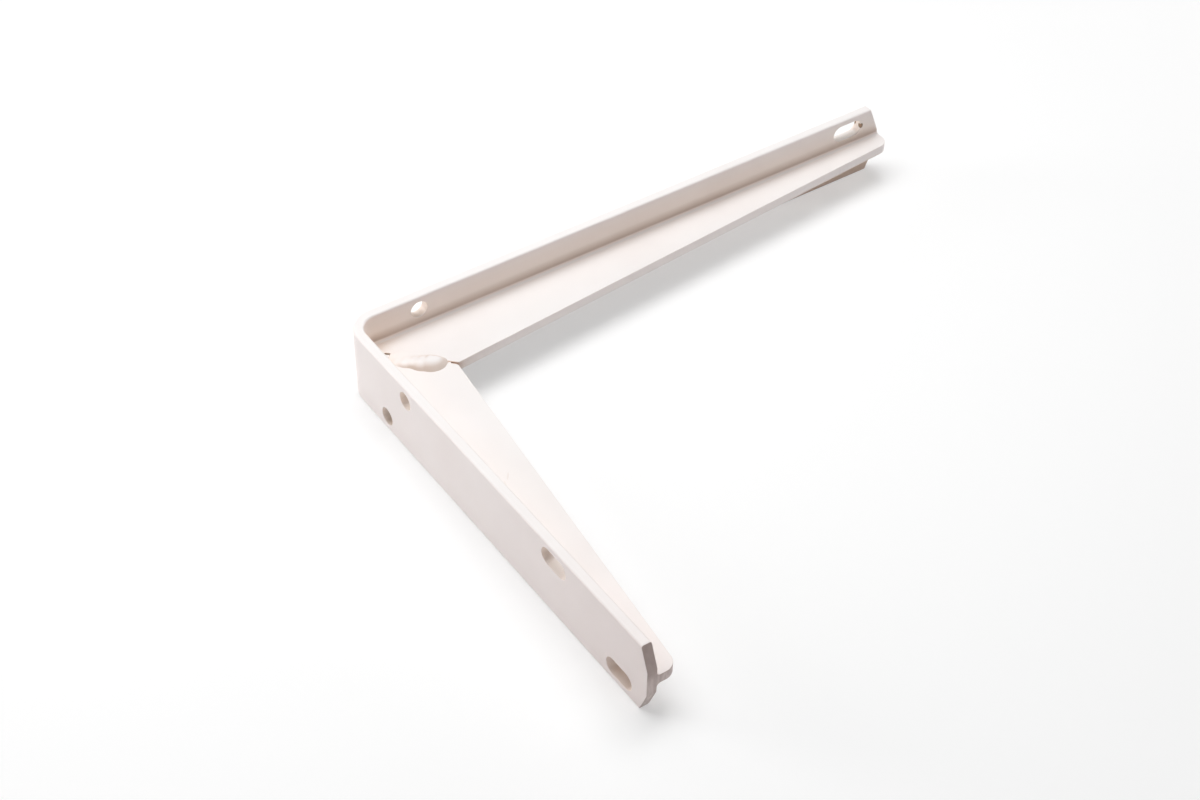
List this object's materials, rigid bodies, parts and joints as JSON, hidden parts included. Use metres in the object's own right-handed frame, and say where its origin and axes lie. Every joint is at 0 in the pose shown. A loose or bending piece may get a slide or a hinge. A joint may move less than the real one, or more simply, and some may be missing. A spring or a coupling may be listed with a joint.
{
  "type": "shelf bracket",
  "caption": "Right-angled shelf bracket of coated tee-section steel, with a tapered web, a bent flange, screw holes, slots and a weld bead in the mitre.",
  "frame": {"origin": "middle of the bounding box, at the level of the surface that the bracket lies on", "axes": "the bracket lies on its side: +Y along the shelf arm to its tip, +X along the wall arm to its tip, +Z across the flange"},
  "size_m": [0.19, 0.25, 0.03],
  "materials": {
    "coated_bar": "satin off-white powder coat",
    "coated_weld": "satin off-white powder coat over a rippled weld bead"
  },
  "bodies": {
    "root": {"tee_bar": "coated_bar", "corner_weld": "coated_weld"}
  },
  "joints": []
}
